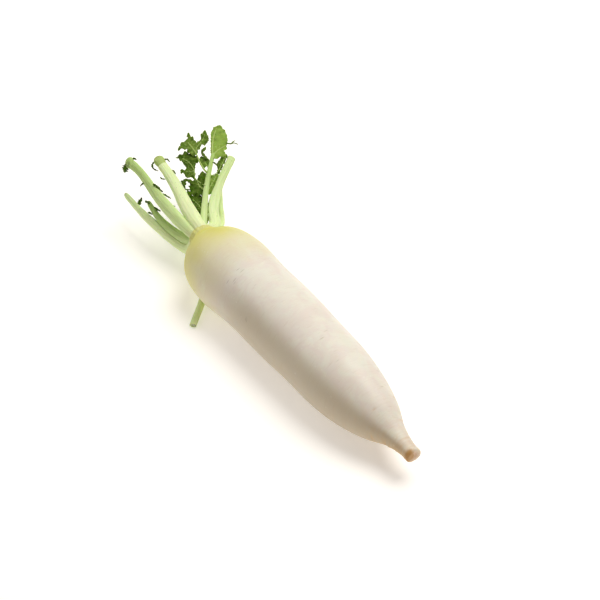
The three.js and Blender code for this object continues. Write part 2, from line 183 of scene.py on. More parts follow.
# Strips that belong to a wider leaflet, in the same units.
SIDE_STRIPS = {
    "leaflet_left_4": (
        (((-15, -43, 1), (-19.5, -39.5, 1.5), (-23, -41.5, 2), (-24.5, -46, 2),
          (-22.5, -50.5, 1.5), (-17, -50, 1)), 2.7),),
    "leaflet_right_curl": ((((16, 14, 2), (18, 16.5, 2.5), (20, 18.5, 2.5)), 0.6),),
    "leaflet_right_3": (
        (((1, -64, 0), (2, -71, -0.5), (1, -77, 0), (2.5, -84, 0), (1, -90, 0)), 1.0),),
}

# Scraps of torn blade on the cut stalks: midrib and half width, in millimetres.
SCRAPS = (
    (((-221.5, -20, 34.5), (-223, -17.5, 37.5), (-223.5, -15, 40)), 2),
    (((-195.5, -17.5, 46.5), (-192.5, -15.5, 45), (-190, -13.5, 43.5)), 1.1),
    (((-207.5, -20, 48), (-205, -18.5, 46.5), (-203.5, -17, 46)), 1.2),
    (((-199, -22.5, 40.5), (-197.5, -21, 40), (-195.5, -19.5, 39)), 0.9),
    (((-252, -12, 60.5), (-252, -15.5, 58), (-250.5, -18.5, 55)), 3.2),
    (((-253, -7.5, 64.5), (-252.5, -5.5, 65), (-251, -3.5, 64)), 1),
    (((-207, -10.5, 64), (-202, -8, 61), (-197.5, -5.5, 58)), 1.3),
    (((-196.5, -7, 57.5), (-193, -4.5, 56), (-189.5, -2, 54)), 0.8),
    (((-184, -9, 53.5), (-181.5, -6.5, 52.5), (-179, -3.5, 52)), 0.7),
    (((-219.5, -14, 58), (-220.5, -15.5, 57.5), (-220, -17.5, 56)), 0.8),
    (((-235, 7.5, 67), (-234.5, 4, 63.5), (-231, 4.5, 61), (-228, 7, 59.5)), 0.9),
    (((-213, 0.5, 64), (-211.5, 1.5, 62.5), (-209.5, 4, 62)), 0.6),
    (((-229.5, 14.5, 69.5), (-227.5, 17, 69.5), (-224.5, 18.5, 67.5)), 0.8),
    (((-213, 13, 67), (-211, 14.5, 66), (-208.5, 15, 64)), 0.8),
)
# The way the scraps face, the seed of the first one's ragged edge less one, and how light the
# green of the scraps and of the curled strips is.
SCRAP_FACE = (0.63, -0.43, 0.64)
SCRAP_SEED = 40
SCRAP_LIGHT = 0.06
CURL_LIGHT = 0.2

# Creases and rootlet scars in the root's skin: station in millimetres, place round the root and
# reach round it in radians, depth in millimetres.
SKIN_MARKS = (
    (278, 3.5, 0.35, 0.7), (289, 3.55, 0.5, 0.9), (296.5, 3.3, 0.5, 0.5), (231, 3.65, 0.12, 0.6),
    (265, 0.62, 0.2, 0.45), (284, 0.66, 0.3, 0.4), (270, 2.0, 0.1, 0.3), (250, 5.2, 0.3, 0.3),
    (300, 1.2, 0.8, 0.25), (262, 4.4, 0.35, 0.25), (291, 5.0, 0.7, 0.4),
)

# The short dents that are strewn over the skin: stations in millimetres, and the places round the
# root that have most of them. Places round the root are in radians, from 0 along +Y upwards.
SCARRED_STATIONS = (12, 300)
SCARRED_SIDES = (0.9, 0.9 + math.pi)
SCAR_WIDTH = 0.7 * MM
CREASE_WIDTH = 0.9 * MM
# Middle of the root's underside, half-way between its flank and its belly, where the painted shade
# is laid.
UNDERSIDE = 3.9

# Leafstalks: shares of the stalk between which the stub steps in, steps over which the widths are
# smoothed, and the rings of a cut face: how far each shrinks, and how far it stands out in
# millimetres.
STUB_STEP = (0.872, 0.884)
WIDTH_SMOOTHING = 12
CUT_FACE = ((0.93, 0.25), (0.8, -0.2), (0.6, -0.5), (0.35, -0.6), (0.12, -0.5))

# Blades: steps along the toothed edge and inside it, length of a tooth, width of the ruffled
# margin, length of a ruffle, and faces along and across a torn strip.
EDGE_STEP = 0.42 * MM
SHEET_STEP = 0.75 * MM
TOOTH = 2.6 * MM
RUFFLED_MARGIN = 3.2 * MM
RUFFLE = 7.5 * MM
STRIP_STEPS, STRIP_COLUMNS = 60, 8

# Colours that no setting carries.
SHOULDER = (0.79, 0.74, 0.35, 1)
# Tan of the tip, the creases and the crown side; laid underneath the root it is painted shade.
DRY_SKIN_AND_SHADE = (0.66, 0.43, 0.19, 1)
STREAK = (0.55, 0.42, 0.26, 1)
PALE_SPECK = (0.95, 0.93, 0.82, 1)
DENT = (0.30, 0.24, 0.13, 1)
COLLAR = ((0.62, 0.61, 0.22, 1), (0.74, 0.74, 0.34, 1))
CUT_FLESH = ((0.70, 0.48, 0.30, 1), (0.86, 0.70, 0.54, 1))
STALK_FOOT = (0.78, 0.80, 0.50, 1)
STUB = (0.47, 0.60, 0.18, 1)
DRIED_END = (0.22, 0.26, 0.10, 1)
KNOB_RING = (0.13, 0.19, 0.05, 1)
PITH = ((0.52, 0.62, 0.28, 1), (0.74, 0.80, 0.52, 1))
STALK_SPECK = (0.20, 0.28, 0.07, 1)
BLADE_BELOW = (0.30, 0.42, 0.16, 1)
BLADE_RIM = (0.42, 0.52, 0.18, 1)
SKY = (1, 0.89, 0.78, 1)
SKY_STRENGTH = 0.16

# Lamps: place, width, watts and colour.
LAMPS = {
    "key": ((0.05, 0.80, 1.83), 1.6, 34, (1, 0.985, 0.955)),
    "fill": ((-1.4, -0.5, 1.34), 1.6, 9, (1, 0.985, 0.96)),
}


class RootSettings(bpy.types.PropertyGroup):
    """Shape and colours of the root"""
    sides: IntProperty(name="Faces around", description="Faces round the root", default=176)
    steps: IntProperty(name="Faces along", description="Faces from crown to tip", default=520)
    lumps: FloatProperty(
        name="Lumps", description="How far the root swells unevenly",
        default=0.45 * MM, unit="LENGTH")
    scars: IntProperty(name="Scars", description="Short dents across the skin", default=110)
    scar_depth: FloatProperty(
        name="Scar depth", description="Depth of the dents", default=0.16 * MM, unit="LENGTH")
    flesh: FloatVectorProperty(
        name="Skin", description="Creamy white of the belly", subtype="COLOR",
        default=(0.85, 0.815, 0.74))
    crown: FloatVectorProperty(
        name="Crown", description="Yellow-green of the crown end", subtype="COLOR",
        default=(0.74, 0.715, 0.145))
    # Painted shade: this darker, duller beige is laid over the root's underside.
    underside_shade: FloatVectorProperty(
        name="Underside", description="Duller beige of the side that lies down", subtype="COLOR",
        default=(0.63, 0.55, 0.41))
    tan: FloatVectorProperty(
        name="Tan", description="Dry tan of the cut tip", subtype="COLOR",
        default=(0.53, 0.28, 0.08))


class StalkSettings(bpy.types.PropertyGroup):
    """Shape and colours of the leafstalks"""
    sides: IntProperty(name="Faces around", description="Faces round a leafstalk", default=48)
    steps: IntProperty(name="Faces along", description="Faces along a leafstalk", default=150)
    flatness: FloatProperty(
        name="Flatness", description="Thickness over width", default=0.74, subtype="FACTOR")
    ribs: FloatProperty(
        name="Ribs", description="Height of the ribs on the back", default=0.13 * MM, unit="LENGTH")
    pale: FloatVectorProperty(
        name="Pale", description="Palest stalk green", subtype="COLOR", default=(0.87, 1.0, 0.55))
    green: FloatVectorProperty(
        name="Green", description="Deepest stalk green", subtype="COLOR",
        default=(0.38, 0.57, 0.13))


class BladeSettings(bpy.types.PropertyGroup):
    """Thickness and colours of the blades"""
    thickness: FloatProperty(
        name="Thickness", description="Thickness of a blade", default=0.45 * MM, unit="LENGTH")
    dark: FloatVectorProperty(
        name="Dark", description="Dark leaf green", subtype="COLOR", default=(0.050, 0.094, 0.003))
    light: FloatVectorProperty(
        name="Light", description="Light leaf green", subtype="COLOR", default=(0.29, 0.41, 0.075))
    vein: FloatVectorProperty(
        name="Veins", description="Pale green of the midribs", subtype="COLOR",
        default=(0.45, 0.60, 0.18))


class StageSettings(bpy.types.PropertyGroup):
    """Camera and surface"""
    azimuth: FloatProperty(
        name="Camera azimuth", description="Camera's turn round the radish",
        default=math.radians(55.81), subtype="ANGLE")
    elevation: FloatProperty(
        name="Camera elevation", description="Camera's height over the surface, as an angle",
        default=math.radians(40), subtype="ANGLE")
    distance: FloatProperty(
        name="Camera distance", description="From the camera to the point it looks at",
        default=1.25, unit="LENGTH")
    aim: FloatVectorProperty(
        name="Looks at", description="The point the camera looks at", subtype="XYZ",
        default=(-0.0177, 0.0277, 0.035))
    lens: FloatProperty(name="Lens", description="Focal length in millimetres", default=85.3)
    floor: FloatVectorProperty(
        name="Surface", description="Colour of the surface", subtype="COLOR",
        default=(0.92, 0.90, 0.87))


# ---------------------------------------------------------------- shapes

def smooth_path(points, count, closed=False):
    """Places along the smooth curve through some points, the way it runs there, and its length.

    The count is how many places at even steps, or an array of their shares of the length.
    """
    knots = np.array(points, float)
    if closed:
        knots = np.vstack((knots[-1], knots, knots[0], knots[1]))
    else:
        knots = np.vstack((2 * knots[0] - knots[1], knots, 2 * knots[-1] - knots[-2]))
    dense = []
    for first in range(1, len(knots) - 2):
        before, start, end, after = knots[first - 1:first + 3]
        gaps = [max(np.sum((b - a) ** 2), 1e-12) ** 0.25
                for a, b in ((before, start), (start, end), (end, after))]
        leave = ((start - before) / gaps[0] - (end - before) / (gaps[0] + gaps[1])
                 + (end - start) / gaps[1]) * gaps[1]
        arrive = ((end - start) / gaps[1] - (after - start) / (gaps[1] + gaps[2])
                  + (after - end) / gaps[2]) * gaps[1]
        way = np.linspace(0, 1, 80, endpoint=first == len(knots) - 3)[:, None]
        dense.append(start + leave * way + (3 * (end - start) - 2 * leave - arrive) * way ** 2
                     + (2 * (start - end) + leave + arrive) * way ** 3)
    dense = np.vstack(dense)
    lengths = np.concatenate(([0], np.cumsum(np.linalg.norm(np.diff(dense, axis=0), axis=1))))
    even = np.linspace(0, lengths[-1], count) if np.isscalar(count) else count * lengths[-1]
    path = np.column_stack([np.interp(even, lengths, dense[:, i]) for i in range(dense.shape[1])])
    runs = np.gradient(path, even, axis=0)
    return path, runs / np.linalg.norm(runs, axis=1)[:, None], lengths[-1]


def smooth_step(value, start, end):
    """0 before start, 1 after end, and a soft rise between them."""
    share = np.clip((value - start) / (end - start), 0, 1)
    return share * share * (3 - 2 * share)


def bump_at(value, place, width):
    """A soft bump of height 1 at a place."""
    return np.exp(-((value - place) / width) ** 2)


def angle_from(turn, side):
    """How far round the root some places are from one side, between minus and plus half a turn."""
    return np.angle(np.exp(1j * (turn - side)))


def rough(points, size, seed):
    """Smooth random values between -1 and 1 at some points."""
    shift = Vector((seed * 7.31, seed * 3.17, seed * 5.71))
    return np.array([noise.noise(Vector(p) / size + shift) for p in points])


def skin_over_grid(rows, columns, closed):
    """Faces over a grid of points that is stored row by row. A closed grid joins up sideways."""
    last = columns if closed else columns - 1
    row, column = np.meshgrid(np.arange(rows - 1), np.arange(last), indexing="ij")
    beside = (column + 1) % columns
    return np.stack((row * columns + column, row * columns + beside,
                     (row + 1) * columns + beside, (row + 1) * columns + column), -1).reshape(-1, 4)


def add_piece(name, points, faces, attributes, material, nodes):
    """A smooth mesh object that stands for some CAD nodes and lies still with the radish."""
    mesh = bpy.data.meshes.new(name)
    mesh.from_pydata(np.asarray(points).tolist(), [], [list(map(int, f)) for f in faces])
    for label, values in attributes.items():
        layer = mesh.attributes.new(label, "FLOAT", "POINT")
        layer.data.foreach_set("value", np.asarray(values, np.float32))
    mesh.polygons.foreach_set("use_smooth", np.ones(len(mesh.polygons), bool))
    mesh.validate()
    mesh.update()
    mesh.materials.append(material)
    piece = bpy.data.objects.new(name, mesh)
    bpy.context.scene.collection.objects.link(piece)
    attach(piece, BODY)
    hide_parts(*nodes)


def close_ends(faces, rows, columns):
    """Faces with a fan over each open end of a closed grid, whose two tip points come last."""
    start, end = rows * columns, rows * columns + 1
    ring = np.arange(columns)
    beside = (ring + 1) % columns
    last = (rows - 1) * columns
    return ([list(f) for f in faces] + [[start, b, a] for a, b in zip(ring, beside)]
            + [[end, last + a, last + b] for a, b in zip(ring, beside)])


# ---------------------------------------------------------------- root

def centre_line(station):
    """Centre line of the root at distances from its crown end."""
    x = station - BELLY_STATION
    crown = np.clip(1 - station / CROWN_SWAY_END, 0, None) ** 2
    tip = (np.clip(station - TIP_BEND_START, 0, None) / (ROOT_LENGTH - TIP_BEND_START)) ** 2
    collar = 1 - smooth_step(station, 0, COLLAR_SHIFT_END)
    y = CROWN_SWAY * crown + TIP_SWAY * tip + COLLAR_SHIFT[0] * collar
    z = BELLY_HEIGHT - LEAN * x + TIP_DROOP * tip + COLLAR_SHIFT[1] * collar
    return x, y, z


def root_relief(station, turn, settings):
    """How far the skin stands out of the plain form: swellings, scars, creases and the collar."""
    out = settings.lumps * (
        np.sin(station * 41 + 1.3 * np.sin(turn + 0.4)) * 0.5
        + np.sin(station * 23 + 2 * turn + 1.1) * 0.5
        + np.sin(station * 67 + 3 * turn) * 0.25)
    random = Random(11)
    for _ in range(settings.scars):
        place = random.uniform(*SCARRED_STATIONS) * MM
        side = random.choice(SCARRED_SIDES) + random.gauss(0, 0.75)
        reach = random.uniform(0.05, 0.16)
        depth = settings.scar_depth * random.uniform(0.4, 1.2)
        around = angle_from(turn, side)
        wander = place + random.uniform(-1, 1) * 2 * MM * around
        out -= depth * bump_at(station, wander, SCAR_WIDTH) * bump_at(around, 0, reach)
    for place, side, reach, depth in SKIN_MARKS:
        across = bump_at(angle_from(turn, side), 0, reach)
        out -= depth * MM * bump_at(station, place * MM, CREASE_WIDTH) * across
        out += 0.5 * depth * MM * bump_at(station, (place + 2) * MM, 1.3 * MM) * across
    rings = np.sin(station * 2100 + 0.8 * np.sin(2 * turn)) + np.sin(station * 3700 + turn)
    fading = 0.035 * smooth_step(station, 0.24, 0.29) + 0.02 * bump_at(station, 0.02, 0.02)
    out += rings * fading * MM
    scales = 0.35 * np.sin(station * 2600) + 0.3 * np.sin(11 * turn + 2 * np.sin(3 * turn))
    out += bump_at(station, -0.003, 0.004) * scales * MM
    return out


def root_tan_and_shade(station, turn):
    """Tan skin at the tip, along the creases and beside the crown, with painted shade that deepens
    it underneath.
    """
    # Painted shade: the tan that grows with below darkens the underside, most of all towards the
    # tip.
    below = 0.5 + 0.5 * np.cos(turn - UNDERSIDE)
    tan_and_shade = smooth_step(station, 0.262, 0.306) * (0.16 + 0.62 * below ** 2)
    tan_and_shade += smooth_step(station, 0.19, 0.27) * (0.06 + 0.14 * below ** 2)
    tan_and_shade += 0.25 * smooth_step(station, 0.292, 0.308)
    tan_and_shade += 0.5 * bump_at(station, 0.016, 0.013) * bump_at(angle_from(turn, 3.55), 0, 0.5)
    for place, side, reach, depth in SKIN_MARKS:
        across = bump_at(angle_from(turn, side), 0, reach)
        tan_and_shade += 1.4 * depth * bump_at(station, place * MM, 0.8 * MM) * across
    return np.clip(tan_and_shade, 0, 1)


def root_mesh(settings):
    """Points, faces and the values that colour them."""
    steps, sides = settings.steps, settings.sides
    outline, runs, _ = smooth_path(
        [(r * MM, s * MM) for s, r in ROOT_OUTLINE], np.linspace(0, 1, steps + 1))
    radius, station = outline[1:-1].T
    turn = np.linspace(0, 2 * math.pi, sides, endpoint=False)
    stations = np.repeat(station[:, None], sides, 1)
    turns = np.repeat(turn[None], len(station), 0)
    relief = root_relief(stations, turns, settings) * smooth_step(radius, 0, 6 * MM)[:, None]
    reach = radius[:, None] + relief * runs[1:-1, 1][:, None]
    stations = stations - relief * runs[1:-1, 0][:, None]
    x, y, z = centre_line(stations)
    points = np.stack((x, y + reach * np.cos(turns), z + reach * np.sin(turns)), -1).reshape(-1, 3)
    caps = [centre_line(np.array(s)) for s in (outline[0, 1], outline[-1, 1] - 0.4 * MM)]
    points = np.vstack((points, caps))
    points[:, 2] = np.maximum(points[:, 2], 0)
    faces = close_ends(skin_over_grid(len(station), sides, True), len(station), sides)
    faces = [f[::-1] for f in faces]
    return points, faces, root_values(stations, turns, radius, runs[1:-1, 1], outline[[0, -1], 1])


def root_values(stations, turns, radius, steepness, ends):
    """The values that colour the root, by place, with those of its two end points last."""
    sides = turns.shape[1]
    beyond = stations > 0.3
    cut = smooth_step(-steepness, -0.5, 0)[:, None] * beyond
    stain = smooth_step(np.cos(turns - 2.8) + 0.25 * np.sin(3 * turns), -0.5, 0.9)
    stain = stain * smooth_step(stations, 0.307, 0.312)
    # Painted shade: how much of the darker underside beige lies at each place, from a little past
    # the crown.
    underside_shade = smooth_step(np.cos(turns - UNDERSIDE), -0.35, 0.55)
    underside_shade = underside_shade * smooth_step(stations, 0.045, 0.13)
    return {
        "tan_and_shade": np.append(root_tan_and_shade(stations, turns).ravel(), (0, 1)),
        "underside_shade": np.append(underside_shade.ravel(), (0, 1)),
        "station": np.append(stations.ravel(), ends),
        "stain": np.append(stain.ravel(), (0, 0.5)),
        "radius": np.append(np.repeat(radius, sides), (0, 0)),
        "cut": np.append(cut.ravel(), (0, 1)),
    }


# ---------------------------------------------------------------- leafstalks

def stalk_axes(runs, back):
    """Across and back directions along a stalk, turning with it and never twisting round it."""
    backs = []
    before = Vector(runs[0])
    backward = Vector(back)
    for run in map(Vector, runs):
        backward.rotate(before.rotation_difference(run))
        backward = (backward - run * backward.dot(run)).normalized()
        backs.append(backward.copy())
        before = run
    backs = np.array(backs)
    return np.cross(runs, backs), backs


def rounding(share, length, left):
    """How a free end closes: 1 along the stalk, and what is left of it at the very end."""
    return left + (1 - left) * np.sqrt(np.clip((1 - share) / length, 0, 1))


def end_shape(end, share):
    """How much wider or narrower than its plain taper a stalk is near its free end."""
    if end == "healed":
        return rounding(share, 0.04, 0.45)
    if end == "knob":
        return (1 + 0.22 * bump_at(share, 0.965, 0.025)) * rounding(share, 0.03, 0.35)
    if end == "stub":
        step = 1 - 0.09 * smooth_step(share, *STUB_STEP)
        swell = 1 + 0.2 * bump_at(share, 0.95, 0.045)
        return step * swell * rounding(share, 0.03, 0.45)
    return np.ones_like(share)


def half_widths(spec, share):
    """Half the width along a stalk, smoothed between the few widths that are given."""
    widths = np.interp(share, np.linspace(0, 1, len(spec["width"])), spec["width"])
    window = np.hanning(2 * WIDTH_SMOOTHING + 1)
    padded = np.pad(widths, WIDTH_SMOOTHING, mode="edge")
    half = np.convolve(padded, window / window.sum(), "valid") * MM / 2
    return half * end_shape(spec["end"], share)


def stalk_section(half, share, turn, settings, seed):
    """How far the skin lies across and behind the centre line: ribbed back, channelled front."""
    cos, sin = np.cos(turn)[None], np.sin(turn)[None]
    channel = 0.42 * bump_at(cos, 0, 0.5) * smooth_step(half, 0, 2 * MM)[:, None]
    channel = channel * (1 - smooth_step(share, 0.8, 1))[:, None]
    depth = np.where(sin > 0, sin, 0.78 * sin + channel * (sin < 0))
    ribs = settings.ribs * (np.cos(13 * turn + 0.6 * seed) + 0.5 * np.cos(21 * turn + seed))[None]
    ribs = ribs * smooth_step(sin, -0.3, 0.3)
    sideways = half[:, None] * cos + ribs * cos
    outward = half[:, None] * settings.flatness * depth + ribs * sin
    return sideways, outward


def cut_face(centre, run, rim, seed):
    """Rings of points over a cut end: a low rim round a slightly hollow, fibrous face."""
    rings = []
    for shrink, sink in CUT_FACE:
        fibres = rough(rim * (1 + shrink), 1.5 * MM, seed)[:, None] * 0.18 * MM
        rings.append(centre + (rim - centre) * shrink + run * (sink * MM + fibres))
    return np.array(rings)


def stalk_mesh(spec, settings, seed):
    """Points, faces and the values that colour them."""
    sides = settings.sides
    share = np.linspace(0, 1, settings.steps + 1)
    centre, runs, length = smooth_path(np.array(spec["route"]) * MM, share)
    across, back = stalk_axes(runs, spec["back"])
    turn = np.linspace(0, 2 * math.pi, sides, endpoint=False)
    sideways, outward = stalk_section(half_widths(spec, share), share, turn, settings, seed)
    grid = (centre[:, None] + across[:, None] * sideways[..., None]
            + back[:, None] * outward[..., None])
    lumps = rough(grid.reshape(-1, 3), 6 * MM, seed).reshape(grid.shape[:2])
    waver = 0.12 + 0.5 * smooth_step(share, 0.86, 1)[:, None] * (spec["end"] in ("knob", "stub"))
    grid = grid + (grid - centre[:, None]) * (lumps * waver * 0.3)[..., None]
    distance, inner = share * length, share * 0
    if spec["end"] == "cut":
        grid = np.vstack((grid, cut_face(centre[-1], runs[-1], grid[-1], seed)))
        distance = np.append(distance, [length] * len(CUT_FACE))
        inner = np.append(inner, [1] * len(CUT_FACE))
    rows = len(grid)
    points = np.vstack((grid.reshape(-1, 3), centre[0], grid[-1].mean(0)))
    faces = close_ends(skin_over_grid(rows, sides, True), rows, sides)
    along = np.append(np.repeat(distance, sides), (0, length))
    values = {
        "distance": along,
        "share": along / length,
        "turn": np.append(np.tile(np.sin(turn), rows), (0, 0)),
        "cosine": np.append(np.tile(np.cos(turn), rows), (0, 0)),
        "inner": np.append(np.repeat(inner, sides), (0, inner[-1])),
    }
    return points, faces, values


# ---------------------------------------------------------------- blades

def leaf_to_world(flat, height):
    """Places given in the leaf's plane and heights over it, as places in space."""
    outward = np.array(LEAF_OUTWARD) / np.linalg.norm(LEAF_OUTWARD)
    across = np.cross(outward, LEAF_UPPER)
    across /= np.linalg.norm(across)
    upper = np.cross(across, outward)
    return (LEAF_ORIGIN + flat[..., :1] * across + flat[..., 1:2] * outward
            + np.asarray(height)[..., None] * upper)


def stalk_bow(flat):
    """How high the bowed leafstalk runs over the leaf's plane, level with some places."""
    share = (flat[..., 1] - STALK_BOW_MIDDLE) / STALK_BOW_MIDDLE
    return STALK_BOW * np.clip(1 - share ** 2, -0.6, 1)


def inside(places, edge):
    """Which places lie inside a closed outline."""
    after = np.roll(edge, -1, 0)
    x, y = places[:, :1], places[:, 1:]
    spans = (edge[None, :, 1] > y) != (after[None, :, 1] > y)
    rise = np.where(after[:, 1] == edge[:, 1], 1, after[:, 1] - edge[:, 1])
    crossing = edge[:, 0] + (y - edge[:, 1]) * (after[:, 0] - edge[:, 0]) / rise
    return (spans & (x < crossing)).sum(1) % 2 == 1


def nearest(places, line):
    """Distance from each place to a line of points, and which of its points is nearest."""
    gaps = np.linalg.norm(places[:, None] - line[None], axis=2)
    return gaps.min(1), gaps.argmin(1)


def toothed_edge(outline, seed):
    """The outline of a blade with small teeth along it, as evenly spaced places."""
    points = np.array(outline) * MM
    _, _, girth = smooth_path(points, 200, True)
    edge, runs, _ = smooth_path(points, int(girth / EDGE_STEP) + 1, True)
    edge, runs = edge[:-1], runs[:-1]
    way = np.linspace(0, girth, len(edge), endpoint=False)
    outwards = np.column_stack((runs[:, 1], -runs[:, 0]))
    area = np.sum(edge[:, 0] * np.roll(edge[:, 1], -1) - np.roll(edge[:, 0], -1) * edge[:, 1])
    wander = rough(np.column_stack((edge, way * 0)), 5 * MM, seed)
    teeth = ((way / TOOTH + 1.2 * wander) % 1) ** 1.6
    return edge + outwards * np.sign(area) * ((0.62 * teeth - 0.25) * MM)[:, None]


def side_veins(rib, seed):
    """Thinner veins that leave a rib on both sides, as lines in the leaf's plane."""
    random = Random(seed)
    path, runs, length = smooth_path(rib, 60)
    veins = []
    for step in np.arange(3.5 * MM, length - 2 * MM, 3.2 * MM):
        index = int(step / length * 59)
        foot, (run_across, run_outward) = path[index], runs[index]
        for side in (-1, 1):
            angle = side * random.uniform(0.7, 1.0)
            turned = np.array((run_across * math.cos(angle) - run_outward * math.sin(angle),
                               run_across * math.sin(angle) + run_outward * math.cos(angle)))
            reach = random.uniform(6, 11) * MM
            bend = runs[index] * reach * 0.25
            veins.append((foot, foot + turned * reach * 0.5, foot + turned * reach + bend))
    return veins


def vein_strength(places, ribs, seed):
    """How much of a vein each place lies on, from 0 to 1."""
    strength = np.zeros(len(places))
    for route, start, end in ribs:
        rib = np.array(route) * MM
        line = smooth_path(rib, 120)[0]
        gap, index = nearest(places, line)
        width = (start + (end - start) * index / 119 + 0.12) * MM
        strength = np.maximum(strength, bump_at(gap, 0, width))
        for vein in side_veins(rib, seed):
            line = smooth_path(vein, 40)[0]
            gap, index = nearest(places, line)
            width = (0.32 - 0.2 * index / 39) * MM
            strength = np.maximum(strength, 0.75 * bump_at(gap, 0, width))
    return strength


def fill_outline(edge, seed):
    """Places on and inside a closed outline, and the triangles between them."""
    low, high = edge.min(0), edge.max(0)
    grid = np.stack(np.meshgrid(np.arange(low[0], high[0], SHEET_STEP),
                                np.arange(low[1], high[1], SHEET_STEP)), -1).reshape(-1, 2)
    random = np.random.default_rng(seed)
    grid = grid + random.uniform(-0.2, 0.2, grid.shape) * SHEET_STEP
    grid = grid[inside(grid, edge)]
    grid = grid[nearest(grid, edge)[0] > 0.4 * MM]
    loose = np.vstack((edge, grid)) / MM
    filled = delaunay_2d_cdt([Vector(p) for p in loose], [], [list(range(len(edge)))], 1, 1e-6)
    return np.array([tuple(p) for p in filled[0]]) * MM, np.array([list(f) for f in filled[2]])


def sheet_mesh(blade, thickness, seed):
    """A toothed, ruffled and veined blade as a thin closed sheet."""
    edge = toothed_edge(blade["outline"], seed)
    flat, triangles = fill_outline(edge, seed)
    gap, index = nearest(flat, edge)
    margin = np.exp(-(gap / RUFFLED_MARGIN) ** 1.5)
    places = np.column_stack((flat, flat[:, 0] * 0))
    wander = rough(places, 9 * MM, seed)
    wave = np.sin(2 * math.pi * index * EDGE_STEP / RUFFLE + 2.5 * wander + seed)
    crumple = rough(places, 4.5 * MM, seed + 3) * 0.55 * MM
    height = blade["lift"] * MM + stalk_bow(flat) + crumple
    height += blade["ruffle"] * MM * (margin * wave + 0.4 * wander)
    veins = vein_strength(flat, blade["ribs"], seed)
    above = leaf_to_world(flat, height + thickness / 2 - 0.16 * MM * veins)
    below = leaf_to_world(flat, height - thickness / 2 - 0.35 * MM * veins)
    count = len(flat)
    faces = triangles.tolist() + (triangles[:, ::-1] + count).tolist()
    sides = dict.fromkeys(
        pair for a, b, c in triangles.tolist() for pair in ((a, b), (b, c), (c, a)))
    faces += [[b, a, a + count, b + count] for a, b in sides if (b, a) not in sides]
    rim = np.exp(-gap / (0.5 * MM))
    values = {
        "vein": np.append(veins, veins),
        "edge": np.append(rim, rim),
        "below": np.append(np.zeros(count), np.ones(count)),
    }
    return np.vstack((above, below)), faces, values


def tube_mesh(route, start, end, sides=10):
    """A thin tapering rib along a smooth line, closed at both ends."""
    centre, runs, _ = smooth_path(route, 48)
    across = np.cross(runs, np.array(LEAF_UPPER))
    across /= np.linalg.norm(across, axis=1)[:, None]
    upper = np.cross(across, runs)
    turn = np.linspace(0, 2 * math.pi, sides, endpoint=False)
    radius = np.linspace(start, end, len(centre))[:, None, None]
    ring = (across[:, None] * np.cos(turn)[None, :, None]
            + upper[:, None] * np.sin(turn)[None, :, None] * 0.8)
    points = np.vstack(((centre[:, None] + ring * radius).reshape(-1, 3), centre[0], centre[-1]))
    faces = close_ends(skin_over_grid(len(centre), sides, True), len(centre), sides)
    full = np.ones(len(points))
    return points, faces, {"vein": full, "edge": full * 0, "below": full * 0}


def strip_mesh(route, half, thickness, seed, face=LEAF_UPPER):
    """A narrow torn strip with ragged edges, pointed at both ends and a little twisted."""
    share = np.linspace(0, 1, STRIP_STEPS + 1)
    centre, runs, _ = smooth_path(route, share)
    across = np.cross(runs, np.array(face))
    across /= np.linalg.norm(across, axis=1)[:, None]
    upper = np.cross(across, runs)
    twist = 0.5 * np.sin(3 * share + seed)[:, None]
    turned = across * np.cos(twist) + upper * np.sin(twist)
    upper = upper * np.cos(twist) - across * np.sin(twist)
    side = np.linspace(-1, 1, STRIP_COLUMNS + 1)
    left, right = (
        np.clip(0.85 + 0.9 * rough(
            np.column_stack((share * 14, share * 0 + sign, share * 0)), 1, seed + sign), 0.15, 1.35)
        for sign in (-1, 1))
    envelope = np.clip(np.sin(math.pi * share ** 0.7), 0, None) ** 0.5
    reach = half * envelope[:, None] * np.where(side < 0, left[:, None], right[:, None])
    reach = reach + 0.12 * MM
    cup = 0.35 * half * side[None] ** 2 * np.sin(5 * share + seed)[:, None]
    lie = (centre[:, None] + turned[:, None] * (side[None] * reach)[..., None]
           + upper[:, None] * cup[..., None])
    offset = upper[:, None] * thickness / 2
    loop = np.concatenate((lie + offset, (lie - offset)[:, ::-1]), 1)
    rows, columns = loop.shape[:2]
    points = np.vstack((loop.reshape(-1, 3), loop[0].mean(0), loop[-1].mean(0)))
    faces = close_ends(skin_over_grid(rows, columns, True), rows, columns)
    middle = np.repeat(bump_at(side, 0, 0.25)[None], rows, 0)
    both = np.append(np.concatenate((middle, middle[:, ::-1]), 1).ravel(), (0, 0)) * 0.4
    return points, faces, {"vein": both, "edge": both * 0, "below": both * 0}


def join_meshes(parts):
    """Several closed shells as one mesh."""
    points, faces, values = [], [], {}
    for part_points, part_faces, part_values in parts:
        start = sum(map(len, points))
        points.append(part_points)
        faces += [[int(corner) + start for corner in face] for face in part_faces]
        for key, value in part_values.items():
            values.setdefault(key, []).append(value)
    return np.vstack(points), faces, {key: np.concatenate(value) for key, value in values.items()}


def lift_route(route):
    """A line given in the leaf's plane and by its height over it, as a line in space."""
    flat = np.array(route) * MM
    return leaf_to_world(flat[:, :2], flat[:, 2] + stalk_bow(flat[:, :2]))


def leaflet_mesh(node, settings, seed):
    """A leaflet: its sheet, its ribs, and the strips that hang from it."""
    parts = []
    if node in BLADES:
        blade = BLADES[node]
        parts.append(sheet_mesh(blade, settings.thickness, seed))
        for route, start, end in blade["ribs"]:
            line = [(*place, blade["lift"] + 0.1) for place in route]
            parts.append(tube_mesh(lift_route(line), start * MM, end * MM))
    strips = list(SIDE_STRIPS.get(node, ()))
    if node in CURLS:
        strips.append(CURLS[node])
    for number, (route, half) in enumerate(strips):
        parts.append(strip_mesh(lift_route(route), half * MM, settings.thickness, seed + number))
    return join_meshes(parts)


# ---------------------------------------------------------------- finishes

